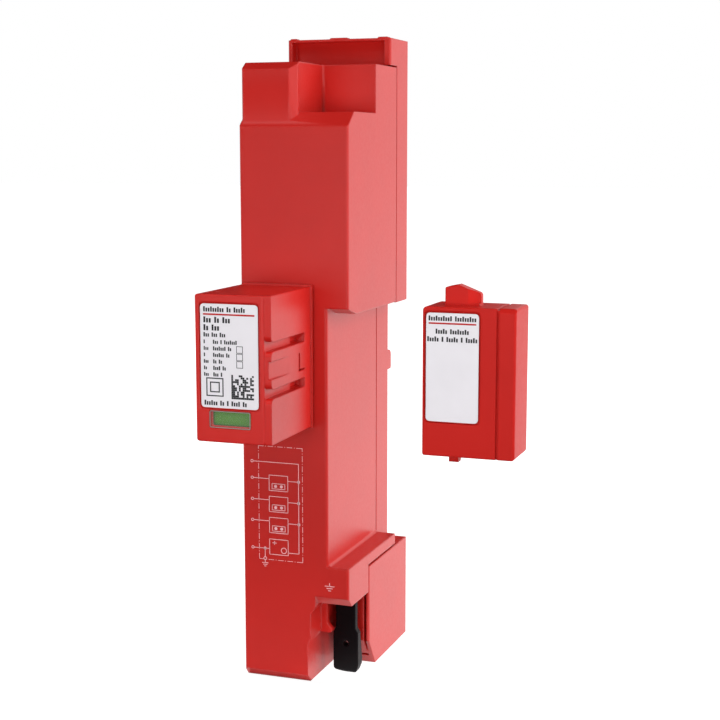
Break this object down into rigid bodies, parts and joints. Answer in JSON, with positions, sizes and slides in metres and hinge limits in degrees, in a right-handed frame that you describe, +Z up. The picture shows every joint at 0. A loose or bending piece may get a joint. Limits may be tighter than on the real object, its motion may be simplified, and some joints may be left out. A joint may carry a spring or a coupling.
{
  "type": "din rail surge arrester",
  "caption": "Slim stepped surge arrester that hangs on a flat busbar system, with a projecting head, status window, locking slide and a separate marking cover.",
  "frame": {"origin": "on the flat lower end of the housing, halfway across its width, 30 mm behind the front face", "axes": "+X to the right as seen from the front, +Y to the back, towards the busbars, +Z up"},
  "size_m": [0.0965, 0.1063, 0.2064],
  "materials": {
    "red_plastic": "satin",
    "black_plastic": "matte",
    "clear_plastic": "gloss",
    "label_film": "satin",
    "flag_plastic": "matte",
    "copper": "satin",
    "spring_steel": "satin",
    "gap_body": "matte",
    "circuit_board": "matte",
    "component_case": "matte",
    "varistor_coat": "gloss"
  },
  "bodies": {
    "housing": {"front_housing": "red_plastic", "rear_housing": "red_plastic", "head_housing": "red_plastic", "status_window": "clear_plastic", "rating_label": "label_film", "flag_axle": "spring_steel", "slide_spring": "spring_steel", "thermal_trip": "component_case", "monitor_module": "component_case", "monitor_board": "circuit_board", "trigger_board": "circuit_board", "trigger_transformer": "component_case", "trigger_capacitor": "varistor_coat", "trigger_varistor": "varistor_coat", "claw_n": "copper", "claw_l1": "copper", "claw_l2": "copper", "claw_l3": "copper", "claw_pe": "copper", "phase_strap_l1": "copper", "phase_strap_l2": "copper", "phase_strap_l3": "copper", "earth_strap": "copper", "neutral_rail": "copper", "spark_gap_l1": "gap_body", "spark_gap_l2": "gap_body", "spark_gap_l3": "gap_body", "spark_gap_npe": "gap_body"},
    "flag": {"status_flag": "flag_plastic"},
    "slide": {"locking_slide": "black_plastic"},
    "cover": {"marking_cover": "red_plastic", "cover_label": "label_film"}
  },
  "joints": [
    {"name": "slide_pull", "type": "slide", "parent": "housing", "child": "slide", "axis": [0, 0, -1], "range_m": [0, 0.0046], "stiffness_N_per_m": 600, "springref_m": -0.004, "deforming": ["slide_spring"]},
    {"name": "flag_turn", "type": "hinge", "parent": "housing", "child": "flag", "pos_m": [-0.007, -0.0565, 0.0914], "axis": [1, 0, 0], "range_deg": [0, 62]},
    {"name": "cover_put_on", "type": "slide", "parent": "housing", "child": "cover", "axis": [-1, 0, 0], "range_m": [0, 0.0454]}
  ]
}
